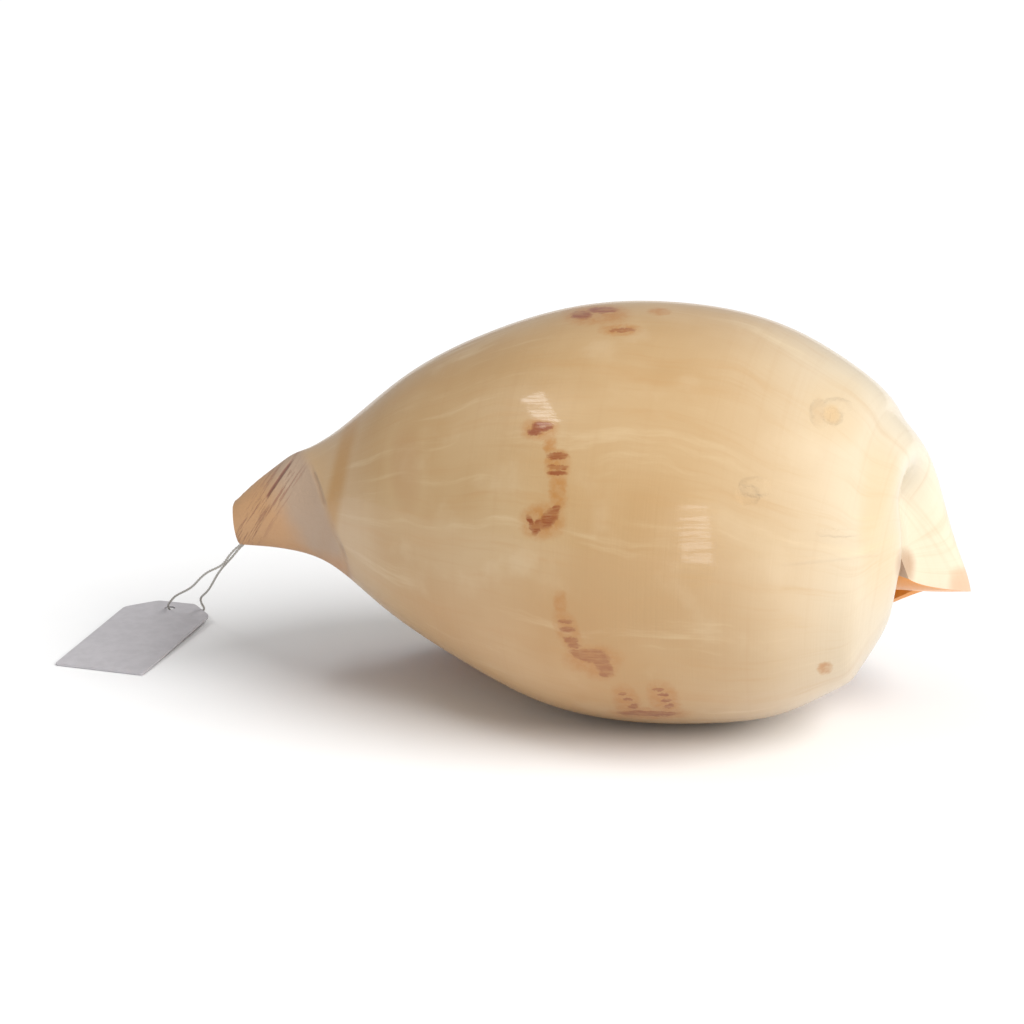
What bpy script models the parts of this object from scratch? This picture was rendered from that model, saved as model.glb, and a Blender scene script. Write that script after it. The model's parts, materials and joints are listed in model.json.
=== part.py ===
"""A melon (bailer) shell lying mouth down, with a paper tag on a thin thread.

The shell grew as one piece. One growth formula gives its skin: a profile, drawn in a
plane through the coiling axis, swells as it turns about that axis. The hollow whorl is
the same formula, one wall inwards, and it is cut from the body as one solid.
Metres, +Z up, +X from the siphon end to the wide end, +Y to the outer lip.
"""
import math

import bmesh
import bpy
import numpy as np

MM = 0.001

# The shell's own sizes, in millimetres, measured from its siphon tip
AXIS_HEIGHT = 64.5
CENTRE_X = 131.0
CENTRE_Y = 10.2
WALL = 3.4
LIP_EDGE = 1.7
POLE_X = 240.0
TIP_X = -1.5

# The profile from the wide end's pole to the siphon tip. Each row gives where the
# curve passes at the lip (along the axis, out from it), where it passed one turn
# earlier, how far out it was two turns earlier, the angle at which the lip lies, in
# degrees from straight up, and how far the shoulder's valley moves it along the axis.
PROFILE = np.array([
    [240.0, 0.5, 240.0, 0.5, 0.5, 160.0, 0.0],
    [242.5, 12.0, 239.0, 10.5, 7.5, 152.0, -2.5],
    [263.0, 22.5, 231.0, 27.5, 30.0, 138.0, -14.8],
    [255.4, 35.5, 222.5, 42.0, 47.0, 127.0, -1.1],
    [245.1, 50.5, 218.5, 46.2, 45.8, 121.7, -1.9],
    [238.3, 54.2, 214.0, 48.5, 41.0, 123.5, 2.2],
    [219.0, 75.0, 197.0, 55.5, 41.0, 126.0, 0.0],
    [190.0, 91.5, 175.0, 58.5, 37.5, 130.5, 0.0],
    [155.0, 97.0, 150.0, 59.5, 36.5, 131.5, 0.0],
    [120.0, 94.5, 120.0, 55.5, 32.5, 132.5, 0.0],
    [88.0, 86.0, 90.0, 43.0, 21.5, 133.5, 0.0],
    [60.0, 71.0, 60.0, 27.5, 10.5, 134.5, 0.0],
    [38.0, 49.5, 38.0, 15.0, 5.5, 136.0, 0.0],
    [18.0, 26.5, 18.0, 11.7, 4.5, 138.0, 0.0],
    [-1.0, 22.0, -1.0, 11.7, 4.0, 140.0, 0.0],
])

# The valley runs up the wide end between the last whorl and the lip. It deepens over
# the first pair of growth shares of the last turn, and ends over the second pair.
VALLEY_GROWS = (0.36, 0.72)
VALLEY_ENDS = (0.69, 1.0)

# The siphon tip is round on the shell's back, over its last stretch, and its rim bows
# a little and slants
TIP_STARTS = -1.2
TIP_STRETCH = 22.0
TIP_LEAST = 0.01
TIP_SWELLS = 0.66
TIP_DOME = 0.018
TIP_SLANT = 1.5
BACK_ANGLE = 17.0

# The folds that wind round the pillar inside the mouth
FOLD_PLACES = (50.0, 64.0, 79.0, 95.0)
FOLD_HEIGHT = 3.2
FOLD_WIDTH = 4.2
FOLD_PITCH = 0.10
FOLD_STARTS = -338.0
FOLD_FULL = -362.0

# How finely the body is lofted: from just off the pole, closer over the wide end
BODY_FROM = 0.035
SHOULDER = 0.30
BODY_LOOPS = (13, 23)
BODY_TURNS = 57

# How far the hollow runs back into the whorl, and how far the siphon slot runs on, in
# degrees of growth. The wall thins to the lip, and the cut opens out once past it.
HOLLOW_BACK = -305.0
SLOT_FORWARD = 42.0
HOLLOW_TURNS = 27
NEAR_LIP = (-20.0, -10.0, -3.0, 3.0, 10.0, 24.0)
LIP_THINS = (-26.0, 0.0)
LIP_CLEARED = (1.0, 10.0)
PAST_LIP = 8.0
SLOT_CLEARS = (-0.25, 0.5, 1.2)

# Where the hollow starts and ends along the profile, and how its ends are rounded
HOLLOW_FROM = 0.085
HOLLOW_TO = 0.80
HOLLOW_SHOULDER = 0.28
HOLLOW_LOOPS = (9, 24)
CORNER_ROUND = 0.07
BLIND_ROUND = 26.0
LEAST_GAPE = 0.25

# The siphon canal, which opens the narrow end between two growth angles
CANAL_BACK = (-190.0, -110.0)
CANAL_CORE = 4.0
CANAL_OUT = 8.5
CANAL_FADES = (14.0, 46.0)
SIPHON_RUN_OUT = 14.0

# The tag: a small stock tag of thin card. Its hole end leans on the thread under it.
TAG_WIDTH = 35.0
TAG_LENGTH = 73.0
TAG_CHAMFER = 10.0
TAG_THICK = 0.8
TAG_HOLE = 4.2
HOLE_SIDES = 16
TAG_HOLE_FROM_END = 7.0
TAG_HOLE_AT = (-177.4, 49.0)
TAG_TURN = math.radians(84.5 - 90.0)
TAG_TILT = math.radians(1.8)

# The thread: one soft cotton thread, doubled. Its route goes from the knot in the
# siphon, out over the rim, down to the card, through the hole, under the card's end
# and back up to the knot.
THREAD = 0.9
THREAD_POINTS = 78
THREAD_ROUTE = (
    (-122.6, -9.0, 57.1),
    (-126.9, -9.0, 53.0),
    (-131.6, -8.2, 49.2),
    (-136.9, -3.8, 43.6),
    (-141.9, 2.6, 37.6),
    (-149.0, 9.2, 32.4),
    (-155.4, 16.9, 26.2),
    (-160.1, 23.1, 21.2),
    (-165.9, 30.2, 16.4),
    (-171.7, 37.2, 11.6),
    (-175.7, 43.2, 6.9),
    (-177.5, 47.9, 3.5),
    (-177.0, 49.9, 1.6),
    (-174.9, 51.2, 0.8),
    (-171.3, 52.1, 0.6),
    (-167.5, 52.9, 0.7),
    (-165.3, 52.4, 1.8),
    (-164.1, 49.0, 4.8),
    (-162.9, 42.4, 9.8),
    (-158.0, 33.8, 15.6),
    (-153.2, 25.6, 21.6),
    (-145.2, 10.9, 32.4),
    (-140.1, 3.4, 38.4),
    (-135.5, -3.0, 43.6),
    (-130.6, -6.8, 49.2),
    (-126.1, -7.3, 53.2),
    (-122.1, -7.2, 56.9),
)
KNOT = 3.0
KNOT_AT = (-121.0, -8.2, 58.3)


def knots_of(profile):
    """Place the profile's points along 0 to 1 by the distance between them."""
    at_lip = np.hypot(np.diff(profile[:, 0]), np.diff(profile[:, 1]))
    a_turn_earlier = np.hypot(np.diff(profile[:, 2]), np.diff(profile[:, 3]))
    run = np.concatenate([[0.0], np.cumsum(at_lip + a_turn_earlier)])
    return run / run[-1]


def smooth_curve(knots, values, along):
    """Read a natural cubic spline through the values at the given places."""
    count = len(knots)
    step = np.diff(knots)
    matrix = np.eye(count)
    right = np.zeros_like(values)
    for i in range(1, count - 1):
        matrix[i, i - 1:i + 2] = (step[i - 1], 2 * (step[i - 1] + step[i]), step[i])
        rise = (values[i + 1] - values[i]) / step[i]
        right[i] = 6 * (rise - (values[i] - values[i - 1]) / step[i - 1])
    bend = np.linalg.solve(matrix, right)
    i = np.clip(np.searchsorted(knots, along, side="right") - 1, 0, count - 2)
    width = step[i][:, None]
    a = (knots[i + 1] - along)[:, None] / width
    b = 1 - a
    cubic = (a**3 - a) * bend[i] + (b**3 - b) * bend[i + 1]
    return a * values[i] + b * values[i + 1] + cubic * width**2 / 6


KNOTS = knots_of(PROFILE)


def profile_rows(along):
    """Read the profile's columns at places along it, in an array of any shape."""
    flat = smooth_curve(KNOTS, PROFILE, np.clip(along, 0, 1).ravel())
    return np.moveaxis(flat.reshape(*along.shape, PROFILE.shape[1]), -1, 0)


def half_plane(along, turn):
    """Give the skin's place along and out from the axis, for growth angles in degrees.

    The lip is at turn 0, and older shell has a negative turn."""
    x_lip, r_lip, x_old, r_old, r_core, _, valley = profile_rows(along)
    growth = 1 + turn / 360
    x = growth * x_lip + (1 - growth) * x_old
    deep = smoothstep(*VALLEY_GROWS, growth) * (1 - smoothstep(*VALLEY_ENDS, growth))
    x = x + valley * deep
    lip, old, core = (np.log(np.maximum(r, 0.3)) for r in (r_lip, r_old, r_core))
    bend = (lip - 2 * old + core) / 2
    out = np.exp(old + growth * (lip - core) / 2 + growth**2 * bend)
    fade = np.clip((FOLD_STARTS - turn) / (FOLD_STARTS - FOLD_FULL), 0, 1)
    for at in FOLD_PLACES:
        off = (x - at - FOLD_PITCH * (turn + 360)) / FOLD_WIDTH
        out = out + FOLD_HEIGHT * fade * np.exp(-off**2)
    return x, out


def inner_skin(along, turn, wall):
    """Move the skin inwards by the wall, square to the profile."""
    step = 0.002
    x, out = half_plane(along, turn)
    x_next, out_next = half_plane(np.minimum(along + step, 1), turn)
    x_last, out_last = half_plane(np.minimum(along + step, 1) - 2 * step, turn)
    dx = x_next - x_last
    dout = out_next - out_last
    size = np.hypot(dx, dout)
    return x - wall * dout / size, out + wall * dx / size


def place(x, out, along, turn):
    """Turn half-plane places about the axis into points in space."""
    angle = np.radians(profile_rows(along)[5] + turn)
    facing_back = np.cos(angle - math.radians(BACK_ANGLE))
    t = np.clip((x - TIP_STARTS) / TIP_STRETCH, TIP_LEAST, 1)
    out = out * (1 - (1 + facing_back) / 2 * (1 - (t * (2 - t))**TIP_SWELLS))
    shift = TIP_DOME * out**2 + TIP_SLANT * np.clip(facing_back, 0, 1)
    x = x + shift * (1 - smoothstep(0.0, TIP_STRETCH, x))
    across = out * np.sin(angle)
    height = AXIS_HEIGHT + out * np.cos(angle)
    return np.stack([x - CENTRE_X, across - CENTRE_Y, height], -1) * MM


def smoothstep(low, high, value):
    """Rise smoothly from 0 to 1 between two values."""
    t = np.clip((value - low) / (high - low), 0, 1)
    return t * t * (3 - 2 * t)


def mesh_object(name, points, faces, collection):
    """Make a closed mesh whose faces all look outwards."""
    mesh = bpy.data.meshes.new(name)
    mesh.from_pydata([tuple(p) for p in points], [], faces)
    mesh.validate()
    made = bpy.data.objects.new(name, mesh)
    collection.objects.link(made)
    work = bmesh.new()
    work.from_mesh(mesh)
    bmesh.ops.recalc_face_normals(work, faces=work.faces)
    if work.calc_volume(signed=True) < 0:
        bmesh.ops.reverse_faces(work, faces=work.faces)
    work.to_mesh(mesh)
    work.free()
    return made


def loops_to_faces(loops, size):
    """Join neighbouring closed loops of points with quads."""
    faces = []
    for i in range(loops - 1):
        a = i * size
        for j in range(size):
            k = (j + 1) % size
            faces.append((a + j, a + k, a + size + k, a + size + j))
    return faces


def two_part_steps(low, middle, high, counts):
    """Step evenly from low to middle, and at another pace from there to high."""
    before = np.linspace(low, middle, counts[0])
    after = np.linspace(middle, high, counts[1])
    return np.concatenate([before, after[1:]])


def body_solid(collection):
    """Loft the whole outside as a solid body, closed by the step under the lip."""
    along = two_part_steps(BODY_FROM, SHOULDER, 1.0, BODY_LOOPS)[:, None]
    turn = np.linspace(-360.0, 0.0, BODY_TURNS)[None, :]
    x, out = half_plane(along, turn)
    rings = place(x, out, along, turn)
    loops, size = rings.shape[:2]
    points = list(rings.reshape(-1, 3))
    pole = len(points)
    points.append(((POLE_X - CENTRE_X) * MM, -CENTRE_Y * MM, AXIS_HEIGHT * MM))
    tip = len(points)
    points.append(((TIP_X - CENTRE_X) * MM, -CENTRE_Y * MM, AXIS_HEIGHT * MM))
    faces = loops_to_faces(loops, size)
    last = (loops - 1) * size
    for j in range(size):
        k = (j + 1) % size
        faces.append((pole, k, j))
        faces.append((tip, last + j, last + k))
    return mesh_object("shell", points, faces, collection)


def pillar(along, turn):
    """Give the older whorl's skin, one turn back, which the hollow winds round."""
    x, out = half_plane(along, turn - 360)
    clear = np.interp(turn, [0.0, 8.0, SLOT_FORWARD], SLOT_CLEARS)
    canal = smoothstep(*CANAL_BACK, turn) * (1 - smoothstep(*CANAL_FADES, x))
    return x, out + clear + canal * (np.minimum(CANAL_CORE, out) - out - clear)


def quarter_round(value):
    """Rise from 0 to 1 as a quarter circle does."""
    return np.sqrt(1 - (1 - np.clip(value, 0, 1))**2)


def hollow_cutter(collection):
    """Loft the hollow of the whorl as one long crescent that winds out of the mouth.

    Each crescent has the wall's inner skin on one side and the pillar on the other."""
    inside = np.linspace(HOLLOW_BACK, NEAR_LIP[0], HOLLOW_TURNS)
    turn = np.concatenate([inside, NEAR_LIP[1:], [SLOT_FORWARD]])[None, :]
    share = two_part_steps(0.0, HOLLOW_SHOULDER, 1.0, HOLLOW_LOOPS)[:, None]
    canal = smoothstep(*CANAL_BACK, turn)
    along = HOLLOW_FROM + share * (HOLLOW_TO + (1 - HOLLOW_TO) * canal - HOLLOW_FROM)
    thick = WALL + (LIP_EDGE - WALL) * smoothstep(*LIP_THINS, turn)
    thick = thick - PAST_LIP * smoothstep(*LIP_CLEARED, turn)
    x_wall, r_wall = inner_skin(along, turn, thick)
    x_core, r_core = pillar(along, turn)
    near_pole = quarter_round(share / CORNER_ROUND)
    near_siphon = np.maximum(quarter_round((1 - share) / CORNER_ROUND), canal)
    blind_end = quarter_round((turn - HOLLOW_BACK) / BLIND_ROUND)
    gape = np.maximum(near_pole * near_siphon * blind_end, LEAST_GAPE)
    x_wall = x_core + gape * (x_wall - x_core)
    r_wall = r_core + gape * (np.maximum(r_wall, CANAL_OUT) - r_core)
    wall = place(x_wall, r_wall, along, turn)
    core = place(x_core, r_core, along, turn)
    run_out = np.zeros((1, turn.shape[1], 3))
    run_out[0, :, 0] = -SIPHON_RUN_OUT * MM * canal[0]
    loops = np.concatenate([wall, wall[-1:] + run_out, core[-1:] + run_out, core[::-1]])
    size, rounds = loops.shape[:2]
    points = list(loops.transpose(1, 0, 2).reshape(-1, 3))
    faces = loops_to_faces(rounds, size)
    last = (rounds - 1) * size
    for i in range(size // 2 - 1):
        quad = (i, i + 1, size - 2 - i, size - 1 - i)
        faces.append(quad)
        faces.append(tuple(last + corner for corner in reversed(quad)))
    return mesh_object("hollow", points, faces, collection)


def shell_piece(parts, cutters, material):
    """Cut the hollow from the body: the grown shell, all in one piece.

    The exact solver drops nearly all of this shell, so the manifold one makes the cut."""
    shell = body_solid(parts)
    hollow = hollow_cutter(cutters)
    hollow.display_type = "WIRE"
    hollow.hide_render = True
    cut = shell.modifiers.new("hollow", "BOOLEAN")
    cut.operation = "DIFFERENCE"
    cut.solver = "MANIFOLD"
    cut.object = hollow
    shell.data.materials.append(material)
    shell.data.shade_smooth()
    shell.data.set_sharp_from_angle(angle=math.radians(40))
    return shell


def tag_outline():
    """Give the card's outline: a plain end, and a hole end with its corners cut off."""
    half = TAG_WIDTH / 2
    far = TAG_HOLE_FROM_END
    near = far - TAG_LENGTH
    return [
        (-half, near),
        (half, near),
        (half, far - TAG_CHAMFER),
        (half - TAG_CHAMFER, far),
        (TAG_CHAMFER - half, far),
        (-half, far - TAG_CHAMFER),
    ]


def tag_piece(parts, material):
    """Extrude the card's outline with its hole, and lay it against the table."""
    curve = bpy.data.curves.new("tag", "CURVE")
    curve.dimensions = "2D"
    curve.fill_mode = "BOTH"
    curve.extrude = TAG_THICK / 2 * MM
    edge = curve.splines.new("POLY")
    corners = tag_outline()
    edge.points.add(len(corners) - 1)
    for point, (x, y) in zip(edge.points, corners):
        point.co = (x * MM, y * MM, 0.0, 1.0)
    edge.use_cyclic_u = True
    hole = curve.splines.new("POLY")
    hole.points.add(HOLE_SIDES - 1)
    for i, point in enumerate(hole.points):
        angle = 2 * math.pi * i / HOLE_SIDES
        x = TAG_HOLE / 2 * math.cos(angle)
        y = TAG_HOLE / 2 * math.sin(angle)
        point.co = (x * MM, y * MM, 0.0, 1.0)
    hole.use_cyclic_u = True
    tag = bpy.data.objects.new("tag", curve)
    parts.objects.link(tag)
    reach = TAG_LENGTH - TAG_HOLE_FROM_END
    lift = reach * math.sin(TAG_TILT) + TAG_THICK / 2 * math.cos(TAG_TILT)
    tag.location = (TAG_HOLE_AT[0] * MM, TAG_HOLE_AT[1] * MM, lift * MM)
    tag.rotation_euler = (TAG_TILT, 0.0, TAG_TURN)
    curve.materials.append(material)
    return tag


def even_route(points, count):
    """Read evenly spaced points from one smooth curve through the route."""
    points = np.array(points)
    run = np.linalg.norm(np.diff(points, axis=0), axis=1)
    knots = np.concatenate([[0.0], np.cumsum(run)])
    fine = smooth_curve(knots, points, np.linspace(0.0, knots[-1], 2000))
    run = np.concatenate([[0.0], np.cumsum(np.linalg.norm(np.diff(fine, axis=0), axis=1))])
    wanted = np.linspace(0.0, run[-1], count)
    return np.stack([np.interp(wanted, run, fine[:, i]) for i in range(3)], 1)


def thread_piece(parts, material):
    """Run one thin thread from the knot to the card, through its hole and back."""
    curve = bpy.data.curves.new("tag_thread", "CURVE")
    curve.dimensions = "3D"
    curve.bevel_depth = THREAD / 2 * MM
    curve.bevel_resolution = 2
    curve.use_fill_caps = True
    route = even_route(THREAD_ROUTE, THREAD_POINTS)
    spline = curve.splines.new("POLY")
    spline.points.add(len(route) - 1)
    for point, (x, y, z) in zip(spline.points, route):
        point.co = (x * MM, y * MM, z * MM, 1.0)
    thread = bpy.data.objects.new("tag_thread", curve)
    parts.objects.link(thread)
    curve.materials.append(material)
    return thread


def knot_piece(parts, material):
    """Make the small hard knot that holds the thread's two ends in the siphon."""
    bpy.ops.mesh.primitive_uv_sphere_add(segments=14, ring_count=8, radius=KNOT / 2 * MM)
    knot = bpy.context.object
    knot.name = "thread_knot"
    for other in list(knot.users_collection):
        other.objects.unlink(knot)
    parts.objects.link(knot)
    knot.location = tuple(v * MM for v in KNOT_AT)
    knot.data.materials.append(material)
    knot.data.shade_smooth()
    return knot


def finish(name, colour, roughness):
    """Make one plain principled material."""
    material = bpy.data.materials.new(name)
    material.use_nodes = True
    shader = material.node_tree.nodes["Principled BSDF"]
    shader.inputs["Base Color"].default_value = (*colour, 1.0)
    shader.inputs["Roughness"].default_value = roughness
    shader.inputs["Metallic"].default_value = 0.0
    return material


def new_collection(name):
    """Make a collection in the scene."""
    made = bpy.data.collections.new(name)
    bpy.context.scene.collection.children.link(made)
    return made


def main():
    """Clear the scene, then make each piece with its own material."""
    for old in list(bpy.data.objects):
        bpy.data.objects.remove(old, do_unlink=True)
    parts = new_collection("melon_shell")
    cutters = new_collection("cutters")
    shell_piece(parts, cutters, finish("shell_enamel", (0.72, 0.52, 0.28), 0.35))
    tag_piece(parts, finish("tag_card", (0.53, 0.51, 0.52), 0.8))
    thread = finish("cotton_thread", (0.60, 0.58, 0.55), 0.9)
    thread_piece(parts, thread)
    knot_piece(parts, thread)


main()
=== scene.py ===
# %% [markdown]
# # A melon shell with its paper tag
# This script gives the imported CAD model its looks. A melon shell is one grown thing: a
# snail laid it down along the lip, a little further round every week, so its form
# follows one formula from the wide end to the siphon. We rebuild that form finely, give
# it the sheen and markings of the real enamel, and add the card tag on its cotton thread.

# %%
import json
import math

import bmesh
import bpy
import numpy as np
from mathutils import Euler, Matrix, Vector
from mathutils.bvhtree import BVHTree
from mathutils.bvhtree import BVHTree
from mathutils.kdtree import KDTree

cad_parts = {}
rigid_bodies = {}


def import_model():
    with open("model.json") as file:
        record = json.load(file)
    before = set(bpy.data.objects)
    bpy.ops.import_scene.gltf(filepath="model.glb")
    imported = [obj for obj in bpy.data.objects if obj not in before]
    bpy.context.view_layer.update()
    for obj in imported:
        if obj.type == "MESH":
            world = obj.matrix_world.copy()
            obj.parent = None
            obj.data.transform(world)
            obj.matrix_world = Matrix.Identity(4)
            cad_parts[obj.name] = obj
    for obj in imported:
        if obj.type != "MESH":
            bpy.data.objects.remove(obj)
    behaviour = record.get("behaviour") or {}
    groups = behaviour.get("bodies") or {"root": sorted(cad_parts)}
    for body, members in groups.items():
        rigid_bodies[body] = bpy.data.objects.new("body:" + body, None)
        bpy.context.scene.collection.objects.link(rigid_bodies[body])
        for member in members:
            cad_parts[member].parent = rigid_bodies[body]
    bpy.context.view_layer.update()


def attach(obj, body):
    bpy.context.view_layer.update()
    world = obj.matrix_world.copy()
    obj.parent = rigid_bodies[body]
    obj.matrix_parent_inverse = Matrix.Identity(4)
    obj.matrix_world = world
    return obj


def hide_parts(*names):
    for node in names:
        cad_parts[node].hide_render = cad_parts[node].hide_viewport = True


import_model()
MM = 0.001

# %% [markdown]
# ## The camera
# The photo was taken from a little above, with a long lens, so lines hardly converge.
# The camera comes first because everything seen in the photo is measured through it. We
# keep its line of sight as a value, because the markings are placed with it later.

# %%
PICTURE = 1024
SENSOR = 36.0
LENS = 149.8
TARGET = Vector((-27.0, -21.6, 73.6)) * MM
SIGHT = Vector((-0.2195, 0.9286, -0.2990)).normalized()
RIGHT = SIGHT.cross(Vector((0, 0, 1))).normalized()
UP = RIGHT.cross(SIGHT)
DISTANCE = 1.5

camera = bpy.data.objects.new("camera", bpy.data.cameras.new("camera"))
camera.data.lens = LENS
camera.data.sensor_width = SENSOR
camera.data.clip_end = 20.0
camera.location = TARGET - SIGHT * DISTANCE
camera.rotation_euler = SIGHT.to_track_quat("-Z", "Y").to_euler()
bpy.context.scene.collection.objects.link(camera)
bpy.context.scene.camera = camera


def photo_ray(x, y):
    """Give the ray, from the camera, through a pixel of the photo's frame."""
    reach = SENSOR / LENS / PICTURE
    across = (x - PICTURE / 2) * reach
    down = (y - PICTURE / 2) * reach
    return camera.location.copy(), (SIGHT + RIGHT * across - UP * down).normalized()


print("camera at", tuple(round(v, 3) for v in camera.location))

# %% [markdown]
# ## The route of the thread
# The tag hangs on one cotton thread, doubled. It comes out of the siphon, drops to the
# card, goes through the hole and under the card's end, and runs back up beside itself.
# These are the CAD model's own route points. A smooth curve through them gives the
# thread's centreline, from which we measure its real length.

# %%
THREAD = 0.9
ROUTE = np.array((
    (-122.6, -9.0, 57.1),
    (-126.9, -9.0, 53.0),
    (-131.6, -8.2, 49.2),
    (-136.9, -3.8, 43.6),
    (-141.9, 2.6, 37.6),
    (-149.0, 9.2, 32.4),
    (-155.4, 16.9, 26.2),
    (-160.1, 23.1, 21.2),
    (-165.9, 30.2, 16.4),
    (-171.7, 37.2, 11.6),
    (-175.7, 43.2, 6.9),
    (-177.5, 47.9, 3.5),
    (-177.0, 49.9, 1.6),
    (-174.9, 51.2, 0.8),
    (-171.3, 52.1, 0.6),
    (-167.5, 52.9, 0.7),
    (-165.3, 52.4, 1.8),
    (-164.1, 49.0, 4.8),
    (-162.9, 42.4, 9.8),
    (-158.0, 33.8, 15.6),
    (-153.2, 25.6, 21.6),
    (-145.2, 10.9, 32.4),
    (-140.1, 3.4, 38.4),
    (-135.5, -3.0, 43.6),
    (-130.6, -6.8, 49.2),
    (-126.1, -7.3, 53.2),
    (-122.1, -7.2, 56.9),
))


def smooth_curve(knots, values, along):
    """Read a natural cubic spline through the values at the given places."""
    count = len(knots)
    step = np.diff(knots)
    matrix = np.eye(count)
    right = np.zeros_like(values)
    for i in range(1, count - 1):
        matrix[i, i - 1:i + 2] = (step[i - 1], 2 * (step[i - 1] + step[i]), step[i])
        rise = (values[i + 1] - values[i]) / step[i]
        right[i] = 6 * (rise - (values[i] - values[i - 1]) / step[i - 1])
    bend = np.linalg.solve(matrix, right)
    i = np.clip(np.searchsorted(knots, along, side="right") - 1, 0, count - 2)
    width = step[i][:, None]
    a = (knots[i + 1] - along)[:, None] / width
    b = 1 - a
    cubic = (a**3 - a) * bend[i] + (b**3 - b) * bend[i + 1]
    return a * values[i] + b * values[i + 1] + cubic * width**2 / 6


def run_along(points):
    """Measure the distance from the first point to each point of a line."""
    steps = np.linalg.norm(np.diff(points, axis=0), axis=1)
    return np.concatenate([[0.0], np.cumsum(steps)])


def even_route(points, count):
    """Read evenly spaced points from one smooth curve through the route."""
    knots = run_along(points)
    fine = smooth_curve(knots, points, np.linspace(0.0, knots[-1], 4000))
    run = run_along(fine)
    wanted = np.linspace(0.0, run[-1], count)
    return np.stack([np.interp(wanted, run, fine[:, i]) for i in range(3)], 1)


thread_line = even_route(ROUTE, 700)

# %% [markdown]
# ## How the shell grows
# A shell grows only at its lip, and every new edge is nearly a scaled copy of the one
# before, turned a little about the coiling axis. So one table of lip sizes is enough:
# where the lip is now, where the same place of it was one turn ago, and how far from
# the axis it was two turns ago. Between those the radius changes smoothly. These are
# the CAD model's own sizes, so both models share one form.

# %%
AXIS_HEIGHT = 64.5
CENTRE_X = 131.0
CENTRE_Y = 10.2
WALL = 3.4
LIP_EDGE = 1.7
POLE_X = 240.0
TIP_X = -1.5
PROFILE = np.array([
    [240.0, 0.5, 240.0, 0.5, 0.5, 160.0, 0.0],
    [242.5, 12.0, 239.0, 10.5, 7.5, 152.0, -2.5],
    [263.0, 22.5, 231.0, 27.5, 30.0, 138.0, -14.8],
    [255.4, 35.5, 222.5, 42.0, 47.0, 127.0, -1.1],
    [245.1, 50.5, 218.5, 46.2, 45.8, 121.7, -1.9],
    [238.3, 54.2, 214.0, 48.5, 41.0, 123.5, 2.2],
    [219.0, 75.0, 197.0, 55.5, 41.0, 126.0, 0.0],
    [190.0, 91.5, 175.0, 58.5, 37.5, 130.5, 0.0],
    [155.0, 97.0, 150.0, 59.5, 36.5, 131.5, 0.0],
    [120.0, 94.5, 120.0, 55.5, 32.5, 132.5, 0.0],
    [88.0, 86.0, 90.0, 43.0, 21.5, 133.5, 0.0],
    [60.0, 71.0, 60.0, 27.5, 10.5, 134.5, 0.0],
    [38.0, 49.5, 38.0, 15.0, 5.5, 136.0, 0.0],
    [18.0, 26.5, 18.0, 11.7, 4.5, 138.0, 0.0],
    [-1.0, 22.0, -1.0, 11.7, 4.0, 140.0, 0.0],
])
VALLEY_GROWS = (0.36, 0.72)
VALLEY_ENDS = (0.69, 1.0)
TIP_STARTS = -1.2
TIP_STRETCH = 22.0
TIP_LEAST = 0.01
TIP_SWELLS = 0.66
TIP_DOME = 0.018
TIP_SLANT = 1.5
BACK_ANGLE = 17.0
FOLD_PLACES = (50.0, 64.0, 79.0, 95.0)
FOLD_HEIGHT = 3.2
FOLD_WIDTH = 4.2
FOLD_PITCH = 0.10
FOLD_STARTS = -338.0
FOLD_FULL = -362.0

gaps = [np.hypot(*np.diff(PROFILE[:, i:i + 2], axis=0).T) for i in (0, 2)]
KNOTS = np.concatenate([[0.0], np.cumsum(gaps[0] + gaps[1])])
KNOTS = KNOTS / KNOTS[-1]


def smoothstep(low, high, value):
    """Rise smoothly from 0 to 1 between two values."""
    t = np.clip((value - low) / (high - low), 0, 1)
    return t * t * (3 - 2 * t)


def profile_rows(along):
    """Read the profile's columns at places along it, in an array of any shape."""
    flat = smooth_curve(KNOTS, PROFILE, np.clip(along, 0, 1).ravel())
    return np.moveaxis(flat.reshape(*along.shape, PROFILE.shape[1]), -1, 0)


def half_plane(along, turn):
    """Give the skin's place along and out from the axis, for growth angles in degrees."""
    x_lip, r_lip, x_old, r_old, r_core, _, valley = profile_rows(along)
    growth = 1 + turn / 360
    x = growth * x_lip + (1 - growth) * x_old
    deep = smoothstep(*VALLEY_GROWS, growth) * (1 - smoothstep(*VALLEY_ENDS, growth))
    x = x + valley * deep
    lip, old, core = (np.log(np.maximum(r, 0.3)) for r in (r_lip, r_old, r_core))
    bend = (lip - 2 * old + core) / 2
    out = np.exp(old + growth * (lip - core) / 2 + growth**2 * bend)
    fade = np.clip((FOLD_STARTS - turn) / (FOLD_STARTS - FOLD_FULL), 0, 1)
    for at in FOLD_PLACES:
        off = (x - at - FOLD_PITCH * (turn + 360)) / FOLD_WIDTH
        out = out + FOLD_HEIGHT * fade * np.exp(-off**2)
    return x, out


def inner_skin(along, turn, wall):
    """Move the skin inwards by the wall, square to the profile."""
    step = 0.002
    x, out = half_plane(along, turn)
    x_next, out_next = half_plane(np.minimum(along + step, 1), turn)
    x_last, out_last = half_plane(np.minimum(along + step, 1) - 2 * step, turn)
    dx = x_next - x_last
    dout = out_next - out_last
    size = np.hypot(dx, dout)
    return x - wall * dout / size, out + wall * dx / size


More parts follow.
